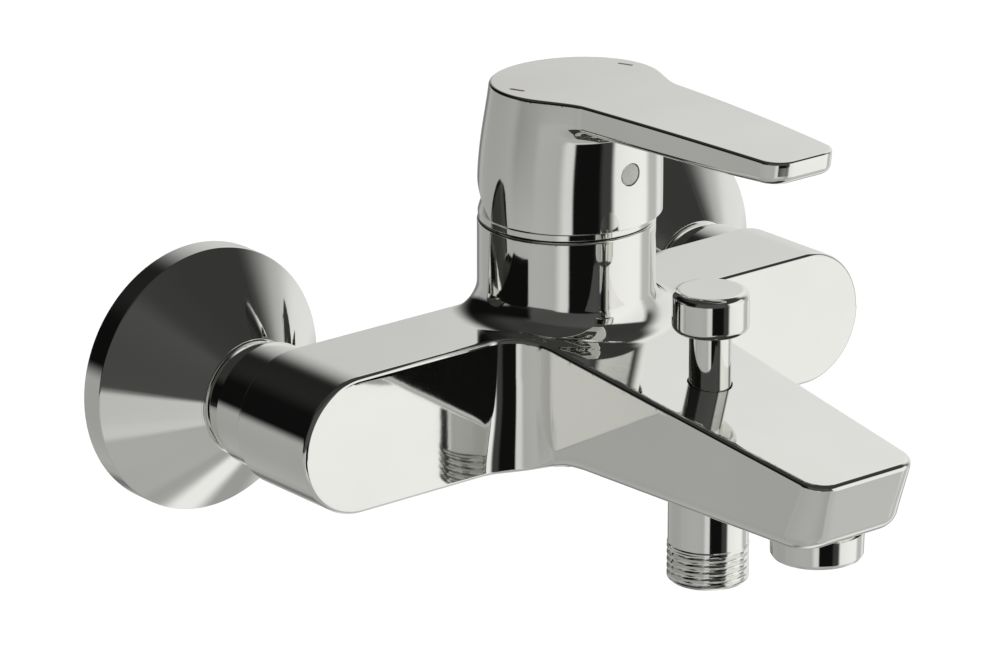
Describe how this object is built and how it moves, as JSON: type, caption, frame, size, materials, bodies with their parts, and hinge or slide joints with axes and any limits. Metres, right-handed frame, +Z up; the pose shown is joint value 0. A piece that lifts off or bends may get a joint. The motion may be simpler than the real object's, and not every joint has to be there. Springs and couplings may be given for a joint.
{
  "type": "wall mounted bath and shower mixer",
  "caption": "Chrome wall mounted single lever bath mixer with a bar body on two cone covers, a flat lever on top, a tapering spout, a pull-up diverter knob and a threaded shower outlet below.",
  "frame": {"origin": "on the wall plane, midway between the two supply pipes", "axes": "+Z up, -Y out of the wall along the spout, +X to the right seen from the front"},
  "size_m": [0.22, 0.1909, 0.1208],
  "materials": {
    "chrome_body": "polished chrome plating on cast brass",
    "chrome_handle": "polished chrome plating on die cast zinc",
    "chrome_cover": "polished chrome plating on pressed brass",
    "brass": "machined brass",
    "steel": "stainless steel",
    "spring_steel": "spring wire",
    "white_plastic": "moulded acetal",
    "grey_plastic": "moulded engineering plastic",
    "plug_plastic": "satin silver plastic",
    "ceramic": "lapped alumina",
    "rubber": "black rubber",
    "red_enamel": "dull red enamel",
    "blue_enamel": "dull blue enamel"
  },
  "bodies": {
    "mixer": {"mixer_body": "chrome_body", "escutcheon_left": "chrome_cover", "escutcheon_right": "chrome_cover", "eccentric_union_left": "brass", "eccentric_union_right": "brass", "union_nut_left": "chrome_cover", "union_nut_right": "chrome_cover", "inlet_tail_left": "brass", "inlet_tail_right": "brass", "union_gasket_left": "rubber", "union_gasket_right": "rubber", "inlet_screen_left": "steel", "inlet_screen_right": "steel", "cartridge_base": "grey_plastic", "cartridge_seals": "rubber", "cartridge_housing": "grey_plastic", "fixed_disc": "ceramic", "retaining_nut": "brass", "cartridge_dome": "chrome_cover", "diverter_bush": "brass", "rod_seal": "rubber", "diverter_spring": "spring_steel", "shower_outlet": "chrome_cover", "outlet_seal": "rubber", "check_valve_cage": "white_plastic", "check_valve_spring": "spring_steel", "aerator_housing": "chrome_cover", "aerator_insert": "white_plastic", "aerator_strainer": "white_plastic", "aerator_gasket": "rubber"},
    "swivel": {"cartridge_turret": "white_plastic", "pivot_pin": "steel"},
    "lever": {"lever_handle": "chrome_handle", "lever_stem": "brass", "grub_screw": "steel", "lever_plug": "plug_plastic", "hot_mark": "red_enamel", "cold_mark": "blue_enamel"},
    "disc": {"moving_disc": "ceramic", "disc_carrier": "white_plastic"},
    "diverter": {"diverter_knob": "chrome_cover", "diverter_rod": "chrome_cover", "diverter_piston": "brass", "piston_ring": "rubber", "diverter_seat_seal": "rubber"},
    "check_poppet": {"check_valve_poppet": "white_plastic"}
  },
  "joints": [
    {"name": "lever_swivel", "type": "hinge", "parent": "mixer", "child": "swivel", "pos_m": [0, -0.0601, 0.0461], "axis": [0, 0, 1], "range_deg": [-50, 50]},
    {"name": "lever_lift", "type": "hinge", "parent": "swivel", "child": "lever", "pos_m": [0, -0.0601, 0.0461], "axis": [-1, 0, 0], "range_deg": [0, 25]},
    {"name": "disc_slide", "type": "slide", "parent": "swivel", "child": "disc", "axis": [0, -1, 0], "range_m": [0, 0.0046]},
    {"name": "diverter_pull", "type": "slide", "parent": "mixer", "child": "diverter", "axis": [0, 0, 1], "range_m": [0, 0.007], "stiffness_N_per_m": 100, "springref_m": -0.012, "deforming": ["diverter_spring"]},
    {"name": "check_valve_lift", "type": "slide", "parent": "mixer", "child": "check_poppet", "axis": [0, 0, -1], "range_m": [0, 0.003], "stiffness_N_per_m": 40, "springref_m": -0.003, "deforming": ["check_valve_spring"]}
  ],
  "couplings": [
    {"joint": "disc_slide", "follows": "lever_lift", "m_per_rad": 0.01027}
  ]
}
